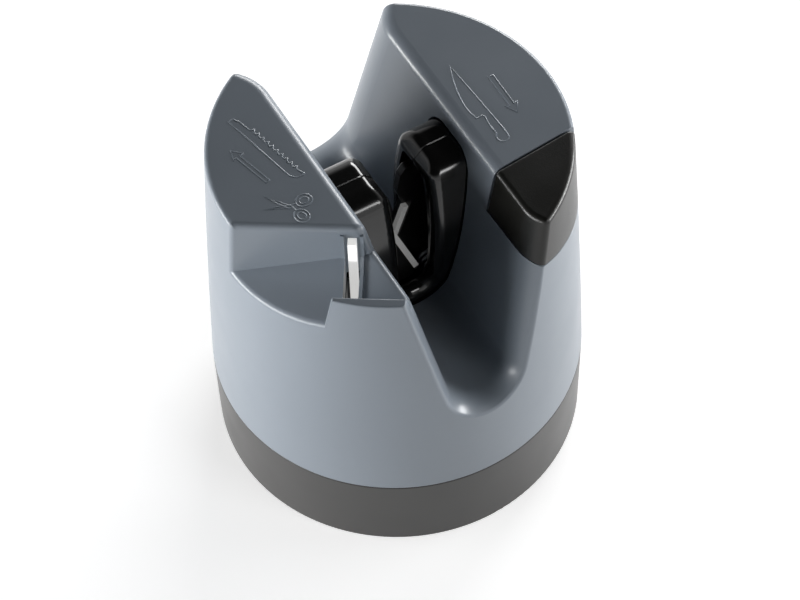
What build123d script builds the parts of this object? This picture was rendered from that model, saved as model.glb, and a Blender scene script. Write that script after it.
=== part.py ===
from build123d import *
from math import acos, atan, atan2, cos, hypot, pi, radians, sin, sqrt
import os

os.makedirs("parts", exist_ok=True)

# Desktop knife sharpener: a tapered housing on a dark base ring, with a groove right through it.
# Millimetres. +Z is up, the origin is the middle of the footprint, and the groove runs along Y.
# The user stands at -Y and draws the blade through two crossed plates on sprung arms.
# The peak at -X also has a notch with a fixed upright bar.

# Outer form
body_height = 95.5
seam_height = 23.35
seam_radius = 44.0
top_radius = 40.2
side_bulge = 0.85
shell_wall = 2.6
rim_round = 1.0

# Clearances
part_gap = 0.3
slide_gap = 0.45
pin_gap = 0.05
touch_gap = 0.15

# Through groove
groove_half = 15.6
groove_lean = 0.19
groove_depth = 48.1
groove_floor = body_height - groove_depth
front_flare = (9.0, 2.65)
back_flare = (13.0, 3.8)
right_edge_round = 3.0
left_edge_round = 2.5

# Corner cap on the right peak
cap_corner_x = groove_half - 0.8
cap_corner_y = -18.7
cap_turn = 4.6
cap_depth = 12.6
cap_floor = body_height - cap_depth
cap_fall = 0.37
cap_round = 1.4
cap_edge_round = 0.7
cap_wall = 2.0
cap_low_end = -8.0
cap_stud_radius = 1.6
cap_stud_length = 4.0

# Notch in the left peak, with its own frame: along the back wall, up, and forwards
notch_turn = 32.8
notch_back = 23.6
notch_depth = 8.7
notch_floor = body_height - notch_depth
notch_floor_x = -14.9
notch_rise = 0.305
notch_end = -10.3
notch_end_lean = 0.19
lip_depth = 4.4
notch_lip = body_height - lip_depth
notch_lip_thick = 2.38
notch_rim_round = 1.4
notch_edge_round = 0.4

# Fixed bar and its holder in the notch
bar_along = -6.9
bar_side = 1.9
bar_drop = 4.4
bar_length = 30.1
bar_top = body_height - bar_drop
bar_foot = bar_top - bar_length
bar_proud = 1.0
slot_gap = 0.75
slot_deep = 1.1
rib_wide = 0.8
rib_proud = 0.4
rib_drop = 2.1
rib_top = body_height - rib_drop
skirt_drop = 7.2
holder_foot = bar_foot - 2.0
holder_seat = bar_foot + 4.0
holder_top = bar_foot + bar_length * 0.47
holder_wall = 0.8
flange_top = bar_foot + 11.0
flange_thick = 3.0
holder_post = 2.6

# Sharpening cartridge: a U-shaped case in two halves, seen from the front
cart_y = -1.3
cart_drop = 5.2
cart_tall = 48.4
cart_top = body_height - cart_drop
cart_bottom = cart_top - cart_tall
cart_reach = 19.75
cart_half_depth = 10.7
cart_bulge_z = cart_top - cart_tall * 0.51
cart_bulge_radius = 85.0
cart_shoulder = 5.5
cart_wall = 1.9
cart_front_wall = 3.6
mouth_half = 4.9
mouth_lean = 0.025
mouth_depth = 38.0
mouth_floor = cart_top - mouth_depth
mouth_chamfer = 2.9
mouth_round = 2.7
mouth_corner = 2.4
split_bevel = 0.2
seam_gap = 0.05
ear_low = cart_top - cart_tall * 0.6
ear_thick = 4.0
ear_screw_x = cart_reach + 4.3
ear_screw_y = 3.6
ear_half = 3.3
joint_low = cart_bottom + 2.5
joint_low_x = cart_reach - 2.4
joint_high = cart_top - 7.5
joint_high_x = cart_reach - 2.9
joint_boss = 2.4
joint_grip = 5.0
hold_gap = 0.02

# Arms and the abrasive plates on them
plate_angle = 19.4
plate_length = 19.0
plate_thick = 1.35
plate_deep = 1.25
plate_cross_depth = 28.4
plate_cross = cart_top - plate_cross_depth
plate_inset = 0.4
arm_thick = 3.7
arm_layer_gap = 0.4
arm_swing = 10.0
arm_drop = 7.4
arm_top = cart_top - arm_drop
arm_edge_set = 0.4
arm_tip = 0.35
arm_nose_x = 1.7
arm_nose_z = arm_top - 7.2
arm_slope = 21.0
arm_bevel = 0.25
pivot_x = 8.0
pivot_z = cart_bottom + 8.5
arm_low = pivot_z + 0.3
arm_low_x = -1.9
pin_radius = 1.5
pin_hold = 2.2
hub_radius = 3.6
sleeve_radius = 2.3
end_play = 0.2
heel_reach = cart_reach - 4.5
heel_low = pivot_z - 2.8
stop_z = pivot_z + 1.1
stop_width = 3.0
lug_height = 3.0
lug_wide = 1.6

# Torsion springs
wire = 0.8
coil_radius = 3.1
coil_turns = 2.75
coil_pitch = 1.3
spring_leg = 9.0
spring_gap = 0.15

# Screws
screw_radius = 1.25
screw_pilot = 1.3
screw_head_radius = 2.5
screw_head = 1.8
screw_pass = 1.5
screw_length = 10.0
small_radius = 1.0
small_head_radius = 1.9
small_head = 1.3
small_pass = 1.15
small_pilot = 1.05
small_length = 8.0
post_radius = 3.2

# Base
foot_height = 1.6
foot_inset = 0.64
foot_width = 4.8
ring_bottom = 0.3
ring_bottom_radius = seam_radius - 0.16
ring_wall = 2.5
ring_round = 0.7
ring_seam_round = 0.35
ring_ledge = 3.0
ring_collar = 3.6
collar_wall = 2.0
plate_height = 2.4
pillar_turns = (45, 135, 225, 315)
pillar_inset = 13.0
pillar_at = seam_radius - pillar_inset
pillar_radius = 3.8
pillar_rise = 2.65
pillar_top = seam_height + pillar_rise
pillar_end = 3.0
boss_rise = 3.0
ballast_gap = 3.2
ballast_radius = pillar_at - pillar_radius - ballast_gap
ballast_height = 7.0
ballast_screw_turns = (90, 210, 330)
ballast_screw_at = ballast_radius * 0.625

far = 60.0
lean = atan(groove_lean)
floor_radius = ((groove_half - groove_lean * (body_height - groove_floor)) * cos(lean)
                / (1 - sin(lean)))
floor_centre = groove_floor + floor_radius


def side_radius(z):
    t = (z - seam_height) / (body_height - seam_height)
    return seam_radius + (top_radius - seam_radius) * t + side_bulge * t * (1 - t)


def turned(points_or_edges):
    return revolve(Plane.XZ * make_face(points_or_edges), Axis.Z)


def tube(outer, inner, low, high):
    ring = Circle(outer) - Circle(inner) if inner else Circle(outer)
    return Pos(0, 0, low) * extrude(ring, high - low)


def post(x, y, low, high, radius, hole=0.0):
    return Pos(x, y, 0) * tube(radius, hole, low, high)


def span(low, high):
    """Box between two corners."""
    size = [b - a for a, b in zip(low, high)]
    middle = [(a + b) / 2 for a, b in zip(low, high)]
    return Pos(*middle) * Box(*size)


def along_y(face, low, high):
    """Extrude an outline drawn on XZ from y = low to y = high."""
    return Pos(0, high, 0) * extrude(Plane.XZ * face, high - low)


def around(radius, turns):
    """Spots on a circle about the middle, at these angles."""
    return [(radius * cos(radians(a)), radius * sin(radians(a))) for a in turns]


def rod_y(x, z, low, high, radius):
    return Pos(x, high, z) * extrude(Plane.XZ * Circle(radius), high - low)


def cone_body(low, high, inset=0.0):
    """The turned outer form between two heights."""
    middle = (low + high) / 2
    start = (side_radius(low) - inset, low)
    half = (side_radius(middle) - inset, middle)
    end = (side_radius(high) - inset, high)
    return turned([Line((0, low), start), ThreePointArc(start, half, end),
                   Line(end, (0, high)), Line((0, high), (0, low))])


def groove_end(flare, grow):
    """The groove opening out at its back end, widened all round by grow."""
    flare_radius, flare_grow = flare
    top = body_height + far / 2
    round_floor = floor_radius + grow
    tangent_x = round_floor * cos(lean)
    tangent_z = floor_centre - round_floor * sin(lean)
    top_x = groove_half + groove_lean * (top - body_height) + grow / cos(lean)
    outline = make_face([
        Line((-top_x, top), (-tangent_x, tangent_z)),
        ThreePointArc((-tangent_x, tangent_z), (0, floor_centre - round_floor),
                      (tangent_x, tangent_z)),
        Line((tangent_x, tangent_z), (top_x, top)), Line((top_x, top), (-top_x, top))])
    prism = along_y(outline, -far, far)

    # The flare is a round between the groove's walls and a leaning plane outside the mouth.
    turn = acos(1 - flare_grow / flare_radius)
    beyond = flare_radius * (1 - sin(turn))
    mouth_top_x = groove_half + flare_grow / cos(lean)
    mouth_low_x = (floor_radius + flare_grow) * cos(lean)
    y_top = sqrt(top_radius ** 2 - mouth_top_x ** 2) + beyond
    y_low = sqrt(side_radius(floor_centre) ** 2 - mouth_low_x ** 2) + beyond
    slope = (y_low - y_top) / (body_height - floor_centre)

    def y_at(z):
        return y_top + slope * (body_height - z)

    low = seam_height
    side = Plane.YZ * make_face(Polyline((y_at(low), low), (far * 2, low), (far * 2, top),
                                         (y_at(top), top), close=True))
    tool = prism + extrude(side, far, both=True)
    mouth = [e for e in tool.edges()
             if abs(e.center().X) < groove_half * 1.6 and low + 1 < e.center().Z < top - 1
             and abs(e.center().Y - y_at(e.center().Z)) < floor_radius / 3]
    tool = fillet(mouth, flare_radius - grow)
    return tool & span((-far, 0, low), (far, far * 1.5, top))


def groove_tool(grow=0.0):
    """The groove with a flared mouth at each end."""
    return groove_end(back_flare, grow) + mirror(groove_end(front_flare, grow), Plane.XZ)


def is_level(edge, z):
    box = edge.bounding_box()
    return abs(box.min.Z - z) < 0.01 and abs(box.max.Z - z) < 0.01


def is_rim(edge, radius):
    return edge.geom_type == GeomType.CIRCLE and abs(edge.radius - radius) < 0.01


def round_groove_edges(body):
    """Round the long edges between the top faces and the groove, one peak at a time."""
    for side, radius in ((1, right_edge_round), (-1, left_edge_round)):
        edges = [e for e in body.edges() if is_level(e, body_height)
                 and not is_rim(e, top_radius) and e.center().X * side > 0]
        body = fillet(edges, radius)
    return body


def round_rim(body):
    """Round everything that borders the conical side, apart from its foot."""
    cone = max((f for f in body.faces() if f.geom_type == GeomType.REVOLUTION),
               key=lambda f: f.area)
    return fillet([e for e in cone.edges() if e.center().Z > seam_height + 1], rim_round)


def cap_region(grow=0.0):
    """The block that the corner cap takes out of the right peak."""
    turn = radians(cap_turn)
    frame = Plane(origin=(cap_corner_x, cap_corner_y, 0), x_dir=(cos(turn), sin(turn), 0),
                  z_dir=(sin(turn), -cos(turn), 0))
    low_x, high_x = cap_low_end, far
    outline = Polyline((low_x, cap_floor - cap_fall * low_x - grow),
                       (high_x, cap_floor - cap_fall * high_x - grow),
                       (high_x, body_height + far / 2), (low_x, body_height + far / 2), close=True)
    return extrude(frame.offset(-grow) * make_face(outline), far)


notch_frame = Plane(
    origin=(-notch_back * sin(radians(notch_turn)), -notch_back * cos(radians(notch_turn)), 0),
    x_dir=(cos(radians(notch_turn)), -sin(radians(notch_turn)), 0),
    z_dir=(-sin(radians(notch_turn)), -cos(radians(notch_turn)), 0))

notch_width = side_radius(notch_lip) - notch_back - notch_lip_thick
holder_front = notch_width - 1.0


def notch_floor_at(x):
    return notch_floor + notch_rise * (x - notch_floor_x)


def notch_block(along, up, forward):
    """Box in the notch's own frame, given as three (low, high) pairs."""
    outline = Polyline((along[0], up[0]), (along[1], up[0]), (along[1], up[1]),
                       (along[0], up[1]), close=True)
    return extrude(notch_frame.offset(forward[0]) * make_face(outline), forward[1] - forward[0])


def floor_prism(drop=0.0, thick=far):
    """Everything from the notch's ramp, lowered by drop, up through thick."""
    low_x, high_x = -far, far
    outline = Polyline((low_x, notch_floor_at(low_x) - drop),
                       (high_x, notch_floor_at(high_x) - drop),
                       (high_x, notch_floor_at(high_x) - drop + thick),
                       (low_x, notch_floor_at(low_x) - drop + thick), close=True)
    return along_y(make_face(outline), -far, far)


def notch_tool(grow=0.0):
    """The notch: a channel along its back wall, open to the left, over a low front lip."""
    reach = far * 0.4
    low, high = groove_floor, body_height + far / 2
    front = notch_width - 1
    channel = notch_block((-far, reach), (low, high), (-grow, notch_width))
    end_low = notch_end + grow + notch_end_lean * (low - notch_lip)
    end_high = notch_end + grow + notch_end_lean * (high - notch_lip)
    outline = Polyline((-far, low), (end_low, low), (end_high, high), (-far, high), close=True)
    open_side = extrude(notch_frame.offset(front) * make_face(outline), far)
    over_lip = notch_block((notch_end * 1.5, reach), (notch_lip - grow, high), (front, far))
    return ((channel + open_side) & floor_prism(grow)) + over_lip


def in_notch(edge):
    """Middle of an edge as (along the notch, forwards from its back wall, height)."""
    local = notch_frame.to_local_coords(edge.center())
    return local.X, local.Z, local.Y


def round_notch(body):
    """Soften the notch: its back edge and rim, its ends and the front lip."""
    def pick(test):
        return [e for e in body.edges() if e.center().X < 0 and test(e, *in_notch(e))]

    def over_floor(edge, up):
        return up - notch_floor_at(edge.center().X)

    body = fillet(pick(lambda e, d, n, z: abs(n) < 0.05 and over_floor(e, z) > 1)
                  + pick(lambda e, d, n, z: n > 5 and d < notch_end * 2 and z < notch_floor
                         and abs(hypot(e.center().X, e.center().Y) - side_radius(z)) < 0.1),
                  notch_rim_round)
    body = fillet(pick(lambda e, d, n, z: 1 < n < notch_width - 1 and d > 0
                       and abs(over_floor(e, z)) < 1), notch_rim_round)
    body = fillet(pick(lambda e, d, n, z: n > notch_width - 0.1 and notch_end * 1.2 < d < 0
                       and is_level(e, notch_lip)), notch_edge_round)
    return body


def cart_side(inset=0.0):
    """Outline of the cartridge on YZ, drawn smaller by inset or larger by a negative one."""
    bulge = cart_bulge_radius - inset
    centre_y = cart_half_depth - cart_bulge_radius
    shoulder = cart_shoulder - inset
    top, low = cart_top - inset, cart_bottom + inset
    round_y_reach = bulge - shoulder
    round_z = top - shoulder
    round_y = centre_y + sqrt(round_y_reach ** 2 - (round_z - cart_bulge_z) ** 2)
    aim = hypot(round_y - centre_y, round_z - cart_bulge_z)
    touch = (round_y + (round_y - centre_y) * shoulder / aim,
             round_z + (round_z - cart_bulge_z) * shoulder / aim)
    heel = centre_y + sqrt(bulge ** 2 - (low - cart_bulge_z) ** 2)
    half = [(0, top), (round_y, top), touch, (heel, low), (0, low)]
    mid_turn = atan2(touch[1] - round_z, touch[0] - round_y) / 2 + pi / 4
    over = (round_y + shoulder * cos(mid_turn), round_z + shoulder * sin(mid_turn))
    widest = (centre_y + bulge, cart_bulge_z)
    right = [Line(half[0], half[1]), ThreePointArc(half[1], over, touch),
             ThreePointArc(touch, widest, half[3]), Line(half[3], half[4]), Line(half[4], half[0])]
    face = make_face(right)
    return Plane.YZ * (Pos(cart_y, 0) * (face + mirror(face, Plane.YZ)))


def mouth_outline():
    """Front view of the slot that the blade drops into, with its sloped entry."""
    entry = cart_top - mouth_chamfer
    low_half = mouth_half - mouth_lean * (entry - mouth_floor)
    rise = mouth_chamfer * 2
    wide = mouth_half + rise * 0.9
    slot = make_face(Polyline((-low_half, mouth_floor), (low_half, mouth_floor),
                              (mouth_half, entry), (wide, entry + rise), (-wide, entry + rise),
                              (-mouth_half, entry), close=True))
    slot = fillet([v for v in slot.vertices() if v.Y < mouth_floor + 1], low_half * 0.82)
    return fillet([v for v in slot.vertices() if abs(v.Y - entry) < 0.01], mouth_corner)


def screw_up(x, y, seat, length, radius=screw_radius, head_radius=screw_head_radius,
             head=screw_head):
    """Screw driven upwards, with the top of its head at seat."""
    return (post(x, y, seat - head, seat, head_radius) + post(x, y, seat, seat + length, radius)
            - post(x, y, seat - head, seat - head * 0.4, radius * 0.8))


def in_cap(edge):
    """How far the middle of an edge is in front of the cap's rear face and above its floor."""
    turn = radians(cap_turn)
    middle = edge.center()
    forward = (middle.X - cap_corner_x) * sin(turn) - (middle.Y - cap_corner_y) * cos(turn)
    along = (middle.X - cap_corner_x) * cos(turn) + (middle.Y - cap_corner_y) * sin(turn)
    return forward, middle.Z - (cap_floor - cap_fall * along)


# Housing: an open-bottomed shell with the groove, the notch and the cartridge opening
plain = cone_body(seam_height, body_height) - groove_tool()
whole = round_rim(round_groove_edges(plain))
shaped = round_notch(whole - notch_tool())
shaped = fillet([e for e in shaped.edges() if is_rim(e, seam_radius)], ring_seam_round)
core = (cone_body(seam_height - 1, body_height - shell_wall, shell_wall) - groove_tool(shell_wall)
        - notch_tool(shell_wall) - cap_region(shell_wall))
housing = shaped - cap_region(part_gap) - core
housing -= extrude(cart_side(-slide_gap), cart_reach + slide_gap, both=True)

# Slot for the fixed bar, with a rib along each side and walls below the notch's floor
slot_half = bar_side / 2 + slot_gap
slot_sides = [(bar_along - slot_half - rib_wide, bar_along - slot_half),
              (bar_along + slot_half, bar_along + slot_half + rib_wide)]
slot_end = notch_width - rib_wide
housing += (notch_block((slot_sides[0][0], slot_sides[1][1]), (groove_floor, body_height),
                        (-slot_deep - rib_wide, notch_width))
            & floor_prism(skirt_drop, skirt_drop - shell_wall / 2))
for side in slot_sides:
    housing += notch_block(side, (notch_floor - shell_wall, rib_top), (-rib_proud, rib_proud))
    along_floor = notch_block(side, (groove_floor, body_height),
                              (-rib_proud, notch_width + rib_proud))
    housing += along_floor & floor_prism(rib_proud, rib_proud * 2)
housing -= notch_block((bar_along - slot_half, bar_along + slot_half),
                       (holder_top, rib_top - rib_proud), (-slot_deep, slot_end))

ear_top = ear_low + ear_thick
ear_spots = [(x, cart_y + y) for x in (-ear_screw_x, ear_screw_x)
             for y in (-ear_screw_y, ear_screw_y)]
for x, y in ear_spots:
    housing += post(x, y, ear_top, body_height - shell_wall / 2, post_radius)
    housing -= post(x, y, ear_top, ear_top + screw_length + 1, screw_pilot)

pillar_spots = around(pillar_at, pillar_turns)
post_top = pillar_top + screw_length + 3
rib_low = seam_height + ring_collar + slide_gap
for turn, (x, y) in zip(pillar_turns, pillar_spots):
    housing += post(x, y, pillar_top, post_top, pillar_radius)
    housing += Rot(0, 0, turn) * span((pillar_at, -1, rib_low),
                                      (seam_radius - shell_wall / 2, 1, post_top))
    housing -= post(x, y, pillar_top, post_top - 2, screw_pilot)

holder_spots = [(bar_along - 6.6, 3.0), (bar_along + 6.4, notch_width - 5.0)]
holder_points = [notch_frame.from_local_coords((d, 0, n)) for d, n in holder_spots]
for p in holder_points:
    housing += post(p.X, p.Y, flange_top, notch_floor_at(p.X) - shell_wall / 2, holder_post)
    housing -= post(p.X, p.Y, flange_top, flange_top + small_length + 1, small_pilot)

stud_spots = [(cap_corner_x + 5.2, cap_corner_y - 5.7),
              (top_radius - 10.0, cap_corner_y - 3.7)]
for x, y in stud_spots:
    housing -= post(x, y, cap_floor - cap_fall * x - far / 4, body_height, cap_stud_radius + pin_gap)

# Corner cap: a hollow black corner that plugs into the housing with two studs
cap = plain & cap_region()
cap = fillet([e for e in cap.edges() if in_cap(e)[0] > 0.05 and in_cap(e)[1] > 0.05], cap_round)
cap = fillet([e for e in cap.edges() if abs(in_cap(e)[0]) < 0.05 and in_cap(e)[1] > 0.5],
             cap_edge_round)
pocket = (cone_body(seam_height, body_height - cap_wall, cap_wall) - groove_tool(cap_wall)
          & cap_region(-cap_wall))
corner_cap = cap - pocket - Pos(0, 0, -cap_wall * 1.5) * pocket
for x, y in stud_spots:
    low = cap_floor - cap_fall * x - cap_stud_length
    corner_cap += post(x, y, low, body_height - cap_wall / 2, cap_stud_radius)

# Fixed bar in its holder
bar_slab = (bar_along - bar_side / 2, bar_along + bar_side / 2)
fixed_bar = notch_block(bar_slab, (bar_foot, bar_top), (bar_proud - bar_side, bar_proud))
holder_half = slot_half + holder_wall
bar_holder = notch_block((bar_along - holder_half, bar_along + holder_half),
                         (holder_foot, holder_top), (-slot_deep - holder_wall, holder_front))
bar_holder -= notch_block((bar_along - slot_half, bar_along + slot_half),
                          (holder_seat, holder_top + 1), (-slot_deep, holder_front - holder_wall))
bar_holder -= notch_block((bar_slab[0] - pin_gap, bar_slab[1] + pin_gap), (bar_foot, holder_top),
                          (bar_proud - bar_side - pin_gap, bar_proud + pin_gap))
for (d, n), p in zip(holder_spots, holder_points):
    near_side = bar_along - slot_half if d < bar_along else bar_along + slot_half
    bar_holder += notch_block((min(d, near_side), max(d, near_side)),
                              (flange_top - flange_thick, flange_top),
                              (n - holder_post, n + holder_post))
    bar_holder += post(p.X, p.Y, flange_top - flange_thick, flange_top, holder_post)
    bar_holder -= post(p.X, p.Y, holder_foot, flange_top + 1, small_pass)
holder_screws = [screw_up(p.X, p.Y, flange_top - flange_thick, flange_thick + small_length,
                          small_radius, small_head_radius, small_head) for p in holder_points]

# Cartridge case: one U-shaped form, hollowed and split into a front and a back half
case = extrude(cart_side(), cart_reach, both=True) - along_y(mouth_outline(), -far, far)
case = fillet([e for e in case.edges() if abs(e.center().X) < mouth_half + mouth_chamfer
               and abs(e.center().Y - cart_y) > cart_half_depth / 4
               and e.center().Z > mouth_floor - 1 and not is_level(e, cart_top)], mouth_round)
case -= extrude(cart_side(cart_front_wall), cart_reach - cart_wall, both=True)


def depth_at(z):
    """Half depth of the case at a height."""
    return (cart_half_depth - cart_bulge_radius
            + sqrt(cart_bulge_radius ** 2 - (z - cart_bulge_z) ** 2))


def half_turn(shape):
    """Turn a part half round about the upright line through the middle of the cartridge."""
    return Pos(0, cart_y, 0) * (Rot(0, 0, 180) * (Pos(0, -cart_y, 0) * shape))


# Layers in depth: the left arm runs in front of the right one
left_front = cart_y - arm_layer_gap / 2 - arm_thick
left_back = left_front + arm_thick
right_front = cart_y + arm_layer_gap / 2
inner_wall = cart_y - depth_at(pivot_z - hub_radius) + cart_front_wall
swing = radians(arm_swing)
stop_near = (pivot_x + hub_radius * cos(swing) + (stop_z + stop_width - pivot_z) * sin(swing)
             + slide_gap)
coil_start = left_back + spring_gap + wire / 2
coil_end = coil_start + coil_pitch * coil_turns
joint_spots = [(x, z) for x in (-1, 1) for z in (joint_low, joint_high)]
joint_x = {joint_low: joint_low_x, joint_high: joint_high_x}


def half_body():
    """One half of the case, with its bosses, stop, spring rest, ears and holes."""
    seam = cart_y - seam_gap
    half = case & span((-far, -far, 0), (far, seam, far * 2))
    half = chamfer([e for e in half.edges() if abs(e.center().Y - seam) < 0.001
                    and e.center().Z > cart_top - mouth_chamfer - 1], split_bevel)
    for side, z in joint_spots:
        half += rod_y(side * joint_x[z], z, cart_y - depth_at(z) + cart_front_wall / 2, seam,
                      joint_boss)
    half += span((-stop_near - stop_width, inner_wall - 1, stop_z),
                 (-stop_near, left_back - touch_gap, stop_z + stop_width))
    leg_y = 2 * cart_y - coil_end
    half += span((cart_reach - cart_wall - stop_width / 2, inner_wall - 1,
                  pivot_z + coil_radius - wire / 2 - spring_gap - stop_width / 2),
                 (cart_reach - cart_wall / 2, leg_y + wire,
                  pivot_z + coil_radius - wire / 2 - spring_gap))
    for x in (-ear_screw_x, ear_screw_x):
        ends = sorted((x, cart_reach - cart_wall / 2 if x > 0 else cart_wall / 2 - cart_reach))
        half += span((ends[0], cart_y - ear_screw_y - ear_half, ear_low),
                     (ends[1], cart_y - ear_screw_y + ear_half, ear_top))
        half += post(x, cart_y - ear_screw_y, ear_low, ear_top, ear_half)
        half -= post(x, cart_y - ear_screw_y, ear_low - 1, ear_top + 1, screw_pass)
    for x in (-pivot_x, pivot_x):
        half -= rod_y(x, pivot_z, inner_wall - pin_hold, seam, pin_radius + hold_gap)
    return half


# The back half is the front one turned half round; only the joining holes differ.
front_frame = half_body()
back_frame = half_turn(front_frame)
joint_seats = {z: cart_y - depth_at(z) + small_head + 0.4 for z in (joint_low, joint_high)}
frame_screws = []
for side, z in joint_spots:
    x, seat = side * joint_x[z], joint_seats[z]
    front_frame -= rod_y(x, z, seat - far, seat, small_head_radius + 0.15)
    front_frame -= rod_y(x, z, seat - 1, cart_y, small_pass)
    back_frame -= rod_y(x, z, cart_y - 1, cart_y + joint_grip + 0.6, small_pilot)
    screw = rod_y(x, z, seat - small_head, seat, small_head_radius)
    screw += rod_y(x, z, seat, cart_y + joint_grip, small_radius)
    frame_screws.append(screw - rod_y(x, z, seat - small_head, seat - small_head / 2, 0.6))
ear_screws = [screw_up(x, y, ear_low, ear_thick + screw_length) for x, y in ear_spots]


# Arms, drawn for the right-hand one and mirrored
def on_plate(along, over):
    """A point beside the right plate: along its length from the middle, and over its face."""
    turn = radians(plate_angle)
    return (along * sin(turn) - over * cos(turn),
            plate_cross + along * cos(turn) + over * sin(turn))


def arm_outline():
    half = plate_length / 2
    face = plate_thick / 2 - arm_edge_set
    corners = [on_plate(-half - arm_tip, face), on_plate(half + arm_tip, face),
               (arm_nose_x, arm_nose_z), (arm_nose_x + 0.9, arm_top - 2.0),
               (arm_nose_x + 2.4, arm_top), (pivot_x, arm_top),
               (pivot_x + hub_radius, arm_top - arm_slope), (pivot_x + hub_radius, stop_z - touch_gap),
               (heel_reach, stop_z - touch_gap), (heel_reach, heel_low),
               (pivot_x, pivot_z - hub_radius), (pivot_x - hub_radius, arm_low),
               (arm_low_x, arm_low)]
    shape = make_face(Polyline(*corners, close=True))

    def corner(*spots):
        return [min(shape.vertices(), key=lambda v: hypot(v.X - x, v.Y - z)) for x, z in spots]

    shape = fillet(corner(corners[2], corners[3], corners[4]), 1.2)
    shape = fillet(corner(corners[1]), 2.0)
    shape = fillet(corner(corners[5], corners[12], corners[8], corners[9]), 1.0)
    shape = fillet(corner(corners[6]), 8.0)
    return shape + Pos(pivot_x, pivot_z) * Circle(hub_radius)


def plate_block(along, over, low_y, high_y):
    """Box beside the right plate, given along, over its face and in depth."""
    corners = [on_plate(along[0], over[0]), on_plate(along[1], over[0]),
               on_plate(along[1], over[1]), on_plate(along[0], over[1])]
    return along_y(make_face(Polyline(*corners, close=True)), low_y, high_y)


def make_arm(front, spring_front, spring_back):
    """The right arm with its front face at a depth; the spring sleeve ends are given."""
    half = plate_length / 2
    arm = along_y(arm_outline(), front, front + arm_thick)
    arm = chamfer([e for e in arm.edges() if e.center().Y < front + 0.01
                   or e.center().Y > front + arm_thick - 0.01], arm_bevel)
    arm -= plate_block((-half, far), (-plate_thick / 2, far), front - 1,
                       front + plate_inset + plate_deep)
    arm += rod_y(pivot_x, pivot_z, spring_front, front, sleeve_radius)
    arm += rod_y(pivot_x, pivot_z, front + arm_thick, spring_back, sleeve_radius)
    return arm - rod_y(pivot_x, pivot_z, -far, far, pin_radius + pin_gap)


def make_plate(front):
    half = plate_length / 2
    return plate_block((-half, half), (-plate_thick / 2, plate_thick / 2), front + plate_inset,
                       front + plate_inset + plate_deep)


back_wall = 2 * cart_y - inner_wall
lug_high = pivot_z + spring_leg
lug_low = lug_high - lug_height
lug_face = pivot_x + coil_radius - wire / 2 - spring_gap
right_arm = make_arm(right_front, inner_wall + end_play, back_wall - end_play)
right_arm += span((lug_face - lug_wide, right_front - spring_gap - wire * 1.2, lug_low),
                  (lug_face, right_front + 0.5, lug_high))
left_arm = mirror(make_arm(left_front, inner_wall + end_play, back_wall - end_play), Plane.YZ)
left_arm += span((-lug_face, left_back - 0.5, lug_low),
                 (lug_wide - lug_face, left_back + spring_gap + wire * 1.2, lug_high))
right_plate = make_plate(right_front)
left_plate = mirror(make_plate(left_front), Plane.YZ)
left_pin = rod_y(-pivot_x, pivot_z, inner_wall - pin_hold + end_play,
                 back_wall + pin_hold - end_play, pin_radius)
left_pin = chamfer(left_pin.edges().filter_by(GeomType.CIRCLE), 0.3)
right_pin = Pos(2 * pivot_x, 0, 0) * left_pin


# Springs: one unbroken wire each, coiled round the sleeve of its arm
def coil_point(turns):
    turn = 2 * pi * turns
    return Vector(-pivot_x - coil_radius * cos(turn), coil_start + coil_pitch * turns,
                  pivot_z - coil_radius * sin(turn))


def make_spring():
    """A leg up beside the arm's lug, the coil in quarter turns, and a leg out to the rest."""
    up_end = coil_point(0) + Vector(0, 0, spring_leg)
    quarters = [ThreePointArc(coil_point(n / 4), coil_point((n + 0.5) / 4), coil_point((n + 1) / 4))
                for n in range(round(coil_turns * 4))]
    last = coil_point(coil_turns)
    out_end = Vector(wire - cart_reach + cart_wall, last.Y, last.Z)
    path = Wire([Line(up_end, coil_point(0)), *quarters, Line(last, out_end)])
    return sweep(Plane(origin=up_end, z_dir=(0, 0, -1)) * Circle(wire / 2), path=path)


def least_gap():
    """Smallest free space between neighbouring turns, measured on points of the wire."""
    steps = 72
    spots = [coil_point(n / steps) for n in range(int(coil_turns * steps) + 1)]
    return min((a - b).length for n, a in enumerate(spots) for b in spots[n + steps // 2:]) - wire


print("least gap between spring turns", round(least_gap(), 2), "mm")
left_spring = make_spring()
right_spring = half_turn(left_spring)

# Base: ring, plate with screw pillars, ballast, rubber foot
ring_inner = ring_bottom_radius - ring_wall
base_ring = turned(Polyline((0, ring_bottom), (ring_bottom_radius, ring_bottom),
                            (seam_radius, seam_height), (0, seam_height), close=True))
base_ring = fillet([e for e in base_ring.edges() if is_rim(e, ring_bottom_radius)], ring_round)
base_ring = fillet([e for e in base_ring.edges() if is_rim(e, seam_radius)], ring_seam_round)
base_ring -= tube(ring_inner, 0, 0, seam_height + 1)
plate_low = foot_height
plate_top = plate_low + plate_height
collar_radius = seam_radius - shell_wall - slide_gap
base_ring += tube(ring_inner + 1, ring_inner - ring_ledge, plate_top, plate_top + ring_ledge)
base_ring += tube(ring_inner + 1, collar_radius - collar_wall, seam_height - ring_ledge, seam_height - 0.5)
base_ring += tube(collar_radius, collar_radius - collar_wall, seam_height - ring_ledge,
                  seam_height + ring_collar)

base_plate = tube(ring_inner - part_gap, 0, plate_low, plate_top)
head_room = screw_head_radius + 0.3
for x, y in pillar_spots:
    base_plate += post(x, y, plate_low, pillar_top, pillar_radius)
    base_plate -= post(x, y, plate_low - 1, pillar_top - pillar_end, head_room)
    base_plate -= post(x, y, plate_low, pillar_top + 1, screw_pass)
base_screws = [screw_up(x, y, pillar_top - pillar_end, pillar_end + screw_length)
               for x, y in pillar_spots]

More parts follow.
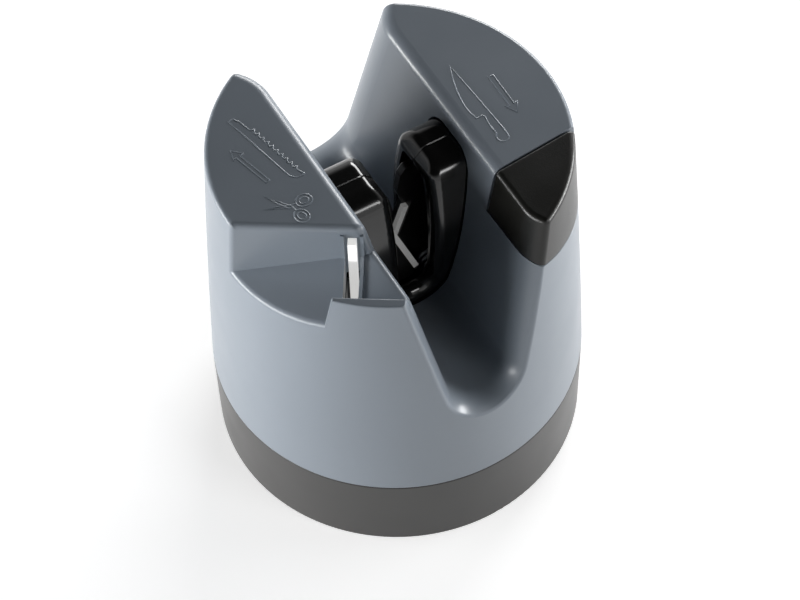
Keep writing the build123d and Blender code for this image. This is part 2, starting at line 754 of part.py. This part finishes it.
ballast_spots = around(ballast_screw_at, ballast_screw_turns)
ballast_top = plate_top + ballast_height
ballast = tube(ballast_radius, 0, plate_top, ballast_top)
ballast = chamfer([e for e in ballast.edges() if is_rim(e, ballast_radius)], 0.5)
ballast_screws = []
for x, y in ballast_spots:
    base_plate += post(x, y, plate_top - 1, plate_top + boss_rise, post_radius)
    base_plate -= post(x, y, plate_low + 0.8, far, screw_pilot)
    ballast -= post(x, y, 0, plate_top + boss_rise + touch_gap, post_radius + touch_gap)
    ballast -= post(x, y, 0, far, screw_pass)
    screw = post(x, y, ballast_top, ballast_top + screw_head, screw_head_radius)
    screw += post(x, y, plate_low + 1.2, ballast_top, screw_radius)
    recess = post(x, y, ballast_top + screw_head * 0.4, far, screw_radius * 0.8)
    ballast_screws.append(screw - recess)

foot_outer = ring_inner - part_gap - foot_inset
rubber_foot = tube(foot_outer, foot_outer - foot_width, 0, foot_height)
rubber_foot = fillet([e for e in rubber_foot.edges() if is_level(e, 0)], 0.5)

export_step(housing, "parts/housing.step")
export_step(corner_cap, "parts/corner_cap.step")
export_step(fixed_bar, "parts/fixed_bar.step")
export_step(bar_holder, "parts/bar_holder.step")
export_step(Compound(holder_screws), "parts/holder_screws.step")
export_step(front_frame, "parts/front_frame.step")
export_step(back_frame, "parts/back_frame.step")
export_step(Compound(frame_screws), "parts/frame_screws.step")
export_step(Compound(ear_screws), "parts/ear_screws.step")
export_step(left_arm, "parts/left_arm.step")
export_step(right_arm, "parts/right_arm.step")
export_step(left_plate, "parts/left_plate.step")
export_step(right_plate, "parts/right_plate.step")
export_step(left_pin, "parts/left_pin.step")
export_step(right_pin, "parts/right_pin.step")
export_step(left_spring, "parts/left_spring.step")
export_step(right_spring, "parts/right_spring.step")
export_step(base_ring, "parts/base_ring.step")
export_step(base_plate, "parts/base_plate.step")
export_step(Compound(base_screws), "parts/base_screws.step")
export_step(ballast, "parts/ballast.step")
export_step(Compound(ballast_screws), "parts/ballast_screws.step")
export_step(rubber_foot, "parts/rubber_foot.step")
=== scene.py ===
import math

import bpy
from mathutils import Matrix, Vector


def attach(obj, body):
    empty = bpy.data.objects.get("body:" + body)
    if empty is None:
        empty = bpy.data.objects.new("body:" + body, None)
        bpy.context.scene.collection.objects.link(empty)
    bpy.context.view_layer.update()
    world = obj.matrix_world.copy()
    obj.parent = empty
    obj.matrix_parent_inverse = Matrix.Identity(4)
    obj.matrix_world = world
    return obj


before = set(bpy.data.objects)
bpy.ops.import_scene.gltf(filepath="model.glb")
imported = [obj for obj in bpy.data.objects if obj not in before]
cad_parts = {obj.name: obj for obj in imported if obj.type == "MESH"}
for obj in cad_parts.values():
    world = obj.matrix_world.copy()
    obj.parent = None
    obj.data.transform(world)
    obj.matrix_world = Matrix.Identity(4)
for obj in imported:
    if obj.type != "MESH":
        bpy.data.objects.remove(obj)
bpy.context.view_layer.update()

MM = 0.001


# Materials

def blank_material(name):
    """A new material's node tree and its main shader."""
    material = bpy.data.materials.new(name)
    material.use_nodes = True
    tree = material.node_tree
    return material, tree, tree.nodes["Principled BSDF"]


def put(tree, kind, settings=None, **sockets):
    """A new node, with its settings and its constant sockets filled in."""
    node = tree.nodes.new(kind)
    for key, value in (settings or {}).items():
        setattr(node, key, value)
    for key, value in sockets.items():
        node.inputs[key.replace("_", " ")].default_value = value
    return node


def object_coords(tree, stretch=(1.0, 1.0, 1.0)):
    """Coordinates in metres that stay on the piece, stretched to lengthen a grain."""
    coords = put(tree, "ShaderNodeTexCoord")
    mapping = put(tree, "ShaderNodeMapping", Scale=stretch)
    tree.links.new(coords.outputs["Object"], mapping.inputs["Vector"])
    return mapping.outputs["Vector"]


def noise(tree, vector, size, detail=2.0, rough=0.5):
    """Noise whose features are about size metres across."""
    node = put(tree, "ShaderNodeTexNoise", Scale=1.0 / size, Detail=detail, Roughness=rough)
    tree.links.new(vector, node.inputs["Vector"])
    return node.outputs["Fac"]


def mapped(tree, value, low, high, from_low=0.3, from_high=0.7):
    """The value's range from_low to from_high, stretched to low to high and held there."""
    node = put(tree, "ShaderNodeMapRange", From_Min=from_low, From_Max=from_high)
    node.inputs["To Min"].default_value = low
    node.inputs["To Max"].default_value = high
    tree.links.new(value, node.inputs["Value"])
    return node.outputs["Result"]


def between(tree, value, colour_a, colour_b, low=0.3, high=0.7):
    """A colour that goes from a to b as the value goes from low to high."""
    blend = put(tree, "ShaderNodeMix", {"data_type": "RGBA"})
    tree.links.new(mapped(tree, value, 0.0, 1.0, low, high), blend.inputs["Factor"])
    colour_in = [socket for socket in blend.inputs if socket.type == "RGBA"]
    colour_in[0].default_value = (*colour_a, 1.0)
    colour_in[1].default_value = (*colour_b, 1.0)
    return [socket for socket in blend.outputs if socket.type == "RGBA"][0]


def bumped(tree, shader, height, strength, depth):
    """Bumps of a depth in metres, from a height value between 0 and 1."""
    bump = put(tree, "ShaderNodeBump", Strength=strength, Distance=depth)
    tree.links.new(height, bump.inputs["Height"])
    tree.links.new(bump.outputs["Normal"], shader.inputs["Normal"])


def shade(colour, factor):
    """A colour made lighter or darker."""
    return tuple(min(1.0, c * factor) for c in colour)


def seen_or_lit(tree, seen, lit):
    """A shader that camera, glossy and transmission rays see, and another for all other rays."""
    rays = put(tree, "ShaderNodeLightPath")
    is_seen = rays.outputs["Is Camera Ray"]
    for other in ("Is Glossy Ray", "Is Transmission Ray"):
        either = put(tree, "ShaderNodeMath", {"operation": "MAXIMUM"})
        tree.links.new(is_seen, either.inputs[0])
        tree.links.new(rays.outputs[other], either.inputs[1])
        is_seen = either.outputs["Value"]
    choose = put(tree, "ShaderNodeMixShader")
    tree.links.new(is_seen, choose.inputs["Fac"])
    tree.links.new(lit, choose.inputs[1])
    tree.links.new(seen, choose.inputs[2])
    return choose.outputs["Shader"]


DRIFT_SIZE = 26 * MM
SHEEN_SIZE = 11 * MM
SHEEN_VARY = 0.02
GRAIN_DEPTH = 0.03 * MM
METAL_SMOOTHER = 0.04
METAL_ROUGHER = 0.08
METAL_DEPTH = 0.02 * MM
GRIT_VARY = 0.1
GRIT_DEPTH = 0.04 * MM


def plastic(name, colour, rough, vary, grain=0.35 * MM, grain_strength=0.08, specular=0.5):
    """Moulded plastic: slow drift of colour and sheen, and fine mould grain."""
    material, tree, shader = blank_material(name)
    place = object_coords(tree)
    drift = noise(tree, place, DRIFT_SIZE, 0.0)
    tree.links.new(between(tree, drift, shade(colour, 1 - vary), shade(colour, 1 + vary)),
                   shader.inputs["Base Color"])
    sheen = noise(tree, place, SHEEN_SIZE, 1.0)
    tree.links.new(mapped(tree, sheen, rough - SHEEN_VARY, rough + SHEEN_VARY),
                   shader.inputs["Roughness"])
    shader.inputs["Specular IOR Level"].default_value = specular
    bumped(tree, shader, noise(tree, place, grain, 2.0, 0.6), grain_strength, GRAIN_DEPTH)
    return material


def metal(name, colour, rough, stretch=(1.0, 1.0, 1.0), grain=0.12 * MM, strength=0.15):
    """Metal with a drawn or ground grain along one axis."""
    material, tree, shader = blank_material(name)
    place = object_coords(tree, stretch)
    lines = noise(tree, place, grain, 3.0, 0.6)
    tree.links.new(between(tree, lines, shade(colour, 0.82), shade(colour, 1.1)),
                   shader.inputs["Base Color"])
    tree.links.new(mapped(tree, lines, rough - METAL_SMOOTHER, rough + METAL_ROUGHER),
                   shader.inputs["Roughness"])
    shader.inputs["Metallic"].default_value = 1.0
    bumped(tree, shader, lines, strength, METAL_DEPTH)
    return material


def grit(name, colour, rough, grain, strength, spread, glow, metallic=0.0):
    """Bonded abrasive: packed grains of slightly different brightness.

    It gives off light of its own, of strength glow, because the lamps hardly reach it.
    Set glow to 0 where the light does.
    """
    material, tree, shader = blank_material(name)
    place = object_coords(tree)
    cells = put(tree, "ShaderNodeTexVoronoi", Scale=1.0 / grain)
    tree.links.new(place, cells.inputs["Vector"])
    tone = put(tree, "ShaderNodeSeparateColor")
    tree.links.new(cells.outputs["Color"], tone.inputs["Color"])
    grains = between(tree, tone.outputs["Red"], shade(colour, 1 - spread),
                     shade(colour, 1 + spread), 0.1, 0.9)
    tree.links.new(grains, shader.inputs["Base Color"])
    roughness = mapped(tree, tone.outputs["Green"], rough - GRIT_VARY, rough + GRIT_VARY,
                       0.0, 1.0)
    tree.links.new(roughness, shader.inputs["Roughness"])
    shader.inputs["Metallic"].default_value = metallic
    shader.inputs["Emission Color"].default_value = (*colour, 1.0)
    shader.inputs["Emission Strength"].default_value = glow
    bumped(tree, shader, cells.outputs["Distance"], strength, GRIT_DEPTH)
    return material


blue_grey = (0.210, 0.241, 0.278)
housing_plastic = plastic("housing_plastic", blue_grey, 0.305, vary=0.025, grain_strength=0.04)
# The icons are the housing's blue-grey made 12% lighter: a painted highlight for the light that
# the raised lines catch, not a colour of their own.
icon_painted_highlight = plastic("icon_painted_highlight", shade(blue_grey, 1.12), 0.24, vary=0.03)
cap_plastic = plastic("cap_plastic", (0.006, 0.006, 0.005), 0.31, vary=0.12, grain=0.3 * MM,
                      grain_strength=0.9, specular=0.36)
gloss_black = plastic("gloss_black", (0.007, 0.007, 0.007), 0.15, vary=0.1,
                      grain_strength=0.02)
arm_black = plastic("arm_black", (0.007, 0.007, 0.007), 0.30, vary=0.12,
                    grain_strength=0.15)
inner_grey = plastic("inner_grey", (0.045, 0.047, 0.05), 0.45, vary=0.08, grain_strength=0.2)
base_plastic = plastic("base_plastic", (0.044, 0.043, 0.042), 0.34, vary=0.04, specular=0.32,
                       grain=0.4 * MM, grain_strength=0.15)
rubber = plastic("rubber", (0.014, 0.014, 0.014), 0.75, vary=0.2, grain=0.6 * MM,
                 grain_strength=0.5)
plate_grit = grit("plate_grit", (0.62, 0.62, 0.61), 0.45, 0.09 * MM, 0.4, metallic=0.2,
                  spread=0.15, glow=0.18)
bar_grit = grit("bar_grit", (0.80, 0.795, 0.78), 0.42, 0.16 * MM, 0.3, spread=0.1,
                glow=0.72)
steel = metal("steel", (0.55, 0.56, 0.57), 0.33, stretch=(1.0, 0.08, 1.0))
spring_steel = metal("spring_steel", (0.42, 0.43, 0.45), 0.34, grain=0.2 * MM)
screw_steel = metal("screw_steel", (0.5, 0.5, 0.48), 0.35, stretch=(1.0, 1.0, 0.3),
                    grain=0.15 * MM)
cast_iron = metal("cast_iron", (0.2, 0.2, 0.2), 0.55, grain=0.5 * MM, strength=0.6)

finishes = {
    "housing": housing_plastic, "corner_cap": cap_plastic, "base_ring": base_plastic,
    "front_frame": gloss_black, "back_frame": gloss_black,
    "left_arm": arm_black, "right_arm": arm_black,
    "left_plate": plate_grit, "right_plate": plate_grit, "fixed_bar": bar_grit,
    "left_pin": steel, "right_pin": steel,
    "left_spring": spring_steel, "right_spring": spring_steel,
    "bar_holder": inner_grey, "base_plate": inner_grey,
    "holder_screws": screw_steel, "frame_screws": screw_steel, "ear_screws": screw_steel,
    "base_screws": screw_steel, "ballast_screws": screw_steel,
    "ballast": cast_iron, "rubber_foot": rubber,
}
for name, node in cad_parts.items():
    for material_slot in node.material_slots:
        material_slot.material = finishes[name]


# Raised outline icons on the two top faces, in millimetres

TOP = 95.5
LINE_WIDTH = 0.42
LINE_HEIGHT = 0.07
LINE_SECTION = [(-0.5, -0.6), (-0.32, 0.7), (0.0, 1.0), (0.32, 0.7), (0.5, -0.6)]
MITRE_LIMIT = 1.8
BARB_SWEEP = 0.15
OVAL_STEPS = 28
RING_OUTER = (1.85, 1.6)
RING_INNER = (1.05, 0.85)
TEETH = 10
TOOTH_PITCH = 1.55
FIRST_TOOTH = 5.2


def ridge_mesh(strokes):
    """Low rounded ridges along flat outlines. A stroke is its points and whether it closes."""
    verts, faces = [], []
    for points, closed in strokes:
        count, first = len(points), len(verts)
        for i, (x, y) in enumerate(points):
            before = points[i - 1] if closed or i else points[i]
            after = points[(i + 1) % count] if closed or i < count - 1 else points[i]
            into = Vector((x - before[0], y - before[1]))
            out = Vector((after[0] - x, after[1] - y))
            into = into.normalized() if into.length else out.normalized()
            out = out.normalized() if out.length else into
            mid = (into + out).normalized() if (into + out).length > 0.01 else out
            side = Vector((-mid.y, mid.x))
            mitre = min(MITRE_LIMIT, 1 / max(0.3, mid.dot(out)))
            for offset, height in LINE_SECTION:
                step = side * offset * LINE_WIDTH * mitre
                verts.append(((x + step.x) * MM, (y + step.y) * MM,
                              (TOP + height * LINE_HEIGHT) * MM))
        n = len(LINE_SECTION)
        for i in range(count if closed else count - 1):
            j = (i + 1) % count
            for k in range(n - 1):
                faces.append((first + i * n + k, first + j * n + k,
                              first + j * n + k + 1, first + i * n + k + 1))
    return verts, faces


def curved(points, steps):
    """A smooth line through points, with some steps from each point to the next."""
    out = []
    last = len(points) - 1
    for i in range(last):
        p0, p1 = points[max(i - 1, 0)], points[i]
        p2, p3 = points[i + 1], points[min(i + 2, last)]
        for s in range(steps):
            t = s / steps
            out.append(tuple(0.5 * (2 * b + (c - a) * t + (2 * a - 5 * b + 4 * c - d) * t * t
                                    + (3 * b - a - 3 * c + d) * t ** 3)
                             for a, b, c, d in zip(p0, p1, p2, p3)))
    return out + [points[last]]


def placed(points, origin, ahead):
    """Local (along, across) points laid from origin in the direction ahead."""
    way = Vector(ahead).normalized()
    side = Vector((-way.y, way.x))
    return [tuple(Vector(origin) + way * u + side * v) for u, v in points]


def ellipse(centre, long, short, ahead):
    """An oval whose longer half-width lies along ahead."""
    angles = [2 * math.pi * n / OVAL_STEPS for n in range(OVAL_STEPS)]
    return placed([(long * math.cos(a), short * math.sin(a)) for a in angles], centre, ahead)


def arrow(tail, tip, half_shaft, half_head, head):
    """A block arrow whose head has barbs swept slightly back."""
    way = Vector(tip) - Vector(tail)
    length = way.length
    neck = length - head
    outline = [(0, -half_shaft), (neck, -half_shaft), (neck - BARB_SWEEP, -half_head),
               (length, 0), (neck - BARB_SWEEP, half_head), (neck, half_shaft),
               (0, half_shaft)]
    return placed(outline, tail, way)


def serrated_knife():
    """Straight spine, square handle and a row of teeth."""
    teeth = []
    for n in range(TEETH):
        start = FIRST_TOOTH + n * TOOTH_PITCH
        teeth += [(start, 2.15), (start + 0.35, 2.85), (start + 0.75, 2.3)]
    outline = [(0, 0.15), (0.15, 1.45), (1.1, 1.55), (1.6, 1.85), (4.6, 1.95)] + teeth
    outline += curved([(21.1, 2.55), (22.1, 2.7), (22.0, 1.6), (21.4, 0.6), (20.2, 0.0)], 3)
    return placed(outline, (-27.4, 23.0), (0.218, -0.976))


def chef_knife():
    """Curved belly towards the groove, straight spine, hooked handle."""
    belly = curved([(22.1, 11.7), (20.5, 7.3), (19.4, 2.7), (19.1, -1.2), (19.6, -4.1)], 5)
    handle = [(21.1, -4.0)] + curved([(21.4, -4.6), (21.05, -7.0), (21.1, -9.6), (20.5, -10.9),
                                      (20.8, -12.1), (21.9, -12.6), (22.9, -12.0),
                                      (23.15, -10.4), (22.95, -5.0)], 4)
    return belly + handle + [(22.6, 2.6)]


def scissors():
    """Two crossed blades, each with an oval ring."""
    pivot = (-26.8, -4.3)
    rings = [(-23.5, -4.2), (-25.9, -7.6)]
    strokes = []
    for tip, ring, side in (((-31.8, -2.1), rings[0], 1), ((-30.1, 0.7), rings[1], -1)):
        reach = (Vector(pivot) - Vector(tip)).length
        blade = [(0, 0), (reach * 0.5, 0.42 * side), (reach, 0.5 * side), (reach * 1.08, 0),
                 (reach, -0.25 * side)]
        strokes.append((placed(blade, tip, Vector(pivot) - Vector(tip)), True))
        toward = Vector(ring) - Vector(pivot)
        shank = [(0.4, 0.28), (toward.length - 1.75, 0.2)]
        strokes.append((placed(shank, pivot, toward), False))
        strokes.append((ellipse(ring, *RING_OUTER, toward), True))
        strokes.append((ellipse(ring, *RING_INNER, toward), True))
    return strokes


def make_piece(name, strokes):
    """A set of strokes as one piece that rides on the housing."""
    verts, faces = ridge_mesh(strokes)
    mesh = bpy.data.meshes.new(name)
    mesh.from_pydata(verts, [], faces)
    mesh.polygons.foreach_set("use_smooth", [True] * len(mesh.polygons))
    mesh.materials.append(icon_painted_highlight)
    piece = bpy.data.objects.new(name, mesh)
    bpy.context.scene.collection.objects.link(piece)
    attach(piece, "body")


make_piece("icon_serrated_knife", [(serrated_knife(), True)])
make_piece("icon_left_arrow", [(arrow((-27.7, 4.2), (-30.6, 15.7), 0.5, 1.35, 2.3), True)])
make_piece("icon_scissors", scissors())
make_piece("icon_chef_knife", [(chef_knife(), True)])
make_piece("icon_right_arrow", [(arrow((28.4, 4.6), (28.1, -7.0), 0.6, 1.5, 2.4), True)])


# Camera, at the photograph's angle

TURN = math.radians(-28.344)
RISE = math.radians(55.127)
ROLL = math.radians(-2.114)
DISTANCE = 659.84 * MM
SHIFT_RIGHT = 1.035 * MM
SHIFT_UP = 20.414 * MM
LENS = 120.91
SENSOR_WIDTH = 36.0

turn = Matrix.Rotation(TURN, 4, "Z")
to_right = turn @ Vector((1, 0, 0))
to_up = turn @ Vector((0, math.sin(RISE), math.cos(RISE)))
to_back = turn @ Vector((0, -math.cos(RISE), math.sin(RISE)))
camera = bpy.data.objects.new("camera", bpy.data.cameras.new("camera"))
camera.data.lens = LENS
camera.data.sensor_width = SENSOR_WIDTH
camera.data.clip_start = 0.02
camera.data.clip_end = 20.0
bpy.context.scene.collection.objects.link(camera)
camera.matrix_world = (Matrix.Translation(to_back * DISTANCE + to_right * SHIFT_RIGHT
                                          + to_up * SHIFT_UP)
                       @ turn @ Matrix.Rotation(math.pi / 2 - RISE, 4, "X")
                       @ Matrix.Rotation(ROLL, 4, "Z"))
bpy.context.scene.camera = camera


# Floor: its glow is seen and doesn't light the object, and is plain white far out

FLOOR_REACH = 6.0
FLOOR_SIDES = 64
FLOOR_GLOW = 0.60
PLAIN_FROM = 0.3
PLAIN_BY = 0.9
FLOOR_TONES = ((0.80, 0.80, 0.80), (0.83, 0.83, 0.83))
FLOOR_CLOUDS = 300 * MM

floor_mesh = bpy.data.meshes.new("floor")
floor_angles = [2 * math.pi * n / FLOOR_SIDES for n in range(FLOOR_SIDES)]
floor_mesh.from_pydata([(FLOOR_REACH * math.cos(a), FLOOR_REACH * math.sin(a), 0)
                        for a in floor_angles], [], [tuple(range(FLOOR_SIDES))])
floor = bpy.data.objects.new("floor", floor_mesh)
bpy.context.scene.collection.objects.link(floor)

material, tree, shader = blank_material("floor_white")
place = object_coords(tree)
tree.links.new(between(tree, noise(tree, place, FLOOR_CLOUDS), *FLOOR_TONES),
               shader.inputs["Base Color"])
shader.inputs["Roughness"].default_value = 0.9
shader.inputs["Specular IOR Level"].default_value = 0.0
glow = put(tree, "ShaderNodeEmission", Color=(1.0, 1.0, 1.0, 1.0))
outwards = put(tree, "ShaderNodeVectorMath", {"operation": "LENGTH"})
tree.links.new(place, outwards.inputs[0])
tree.links.new(mapped(tree, outwards.outputs["Value"], FLOOR_GLOW, 1.0, PLAIN_FROM, PLAIN_BY),
               glow.inputs["Strength"])
added = put(tree, "ShaderNodeAddShader")
tree.links.new(shader.outputs["BSDF"], added.inputs[0])
tree.links.new(glow.outputs["Emission"], added.inputs[1])
tree.links.new(seen_or_lit(tree, added.outputs["Shader"], shader.outputs["BSDF"]),
               tree.nodes["Material Output"].inputs["Surface"])
floor_mesh.materials.append(material)


# World: white round the horizon and dark overhead, as in a studio with a dark ceiling

HORIZON = (1.0, 1.0, 1.0)
OVERHEAD = (0.02, 0.02, 0.02)
SEEN_STRENGTH = 1.0
LIT_STRENGTH = 0.15

world = bpy.data.worlds.new("studio")
bpy.context.scene.world = world
world.use_nodes = True
tree = world.node_tree
tree.nodes.clear()
out = put(tree, "ShaderNodeOutputWorld")
coords = put(tree, "ShaderNodeTexCoord")
split = put(tree, "ShaderNodeSeparateXYZ")
tree.links.new(coords.outputs["Generated"], split.inputs["Vector"])
seen_colour = between(tree, split.outputs["Z"], HORIZON, OVERHEAD, 0.25, 0.6)
lit_colour = between(tree, split.outputs["Z"], HORIZON, OVERHEAD, 0.2, 0.45)
seen = put(tree, "ShaderNodeBackground", Strength=SEEN_STRENGTH)
lit = put(tree, "ShaderNodeBackground", Strength=LIT_STRENGTH)
tree.links.new(seen_colour, seen.inputs["Color"])
tree.links.new(lit_colour, lit.inputs["Color"])
tree.links.new(seen_or_lit(tree, seen.outputs["Background"], lit.outputs["Background"]),
               out.inputs["Surface"])


# Lamps, placed round the camera's own direction: right, away from the camera, up

AIM = Vector((0, 0, 0.05))


def softbox(name, right, away, up, width, height, power):
    """A rectangular lamp that points at the middle of the object."""
    data = bpy.data.lights.new(name, "AREA")
    data.shape = "RECTANGLE"
    data.size, data.size_y, data.energy = width, height, power
    lamp = bpy.data.objects.new(name, data)
    lamp.location = turn @ Vector((right, away, up))
    lamp.rotation_mode = "QUATERNION"
    lamp.rotation_quaternion = (AIM - lamp.location).to_track_quat("-Z", "Y")
    lamp.visible_camera = False
    bpy.context.scene.collection.objects.link(lamp)


softbox("left_box", -0.88, -0.06, 0.09, 0.6, 0.16, 7.6)
softbox("front_left_box", -0.74, -0.50, 0.08, 0.5, 0.14, 4.8)
softbox("right_box", 0.88, 0.20, 0.11, 0.6, 0.20, 8.2)
softbox("back_box", 0.30, 0.80, 0.36, 0.6, 0.30, 6.6)
softbox("spark_box", 0.60, -0.42, 0.46, 0.36, 0.12, 1.5)

bpy.context.scene.view_settings.view_transform = "Standard"
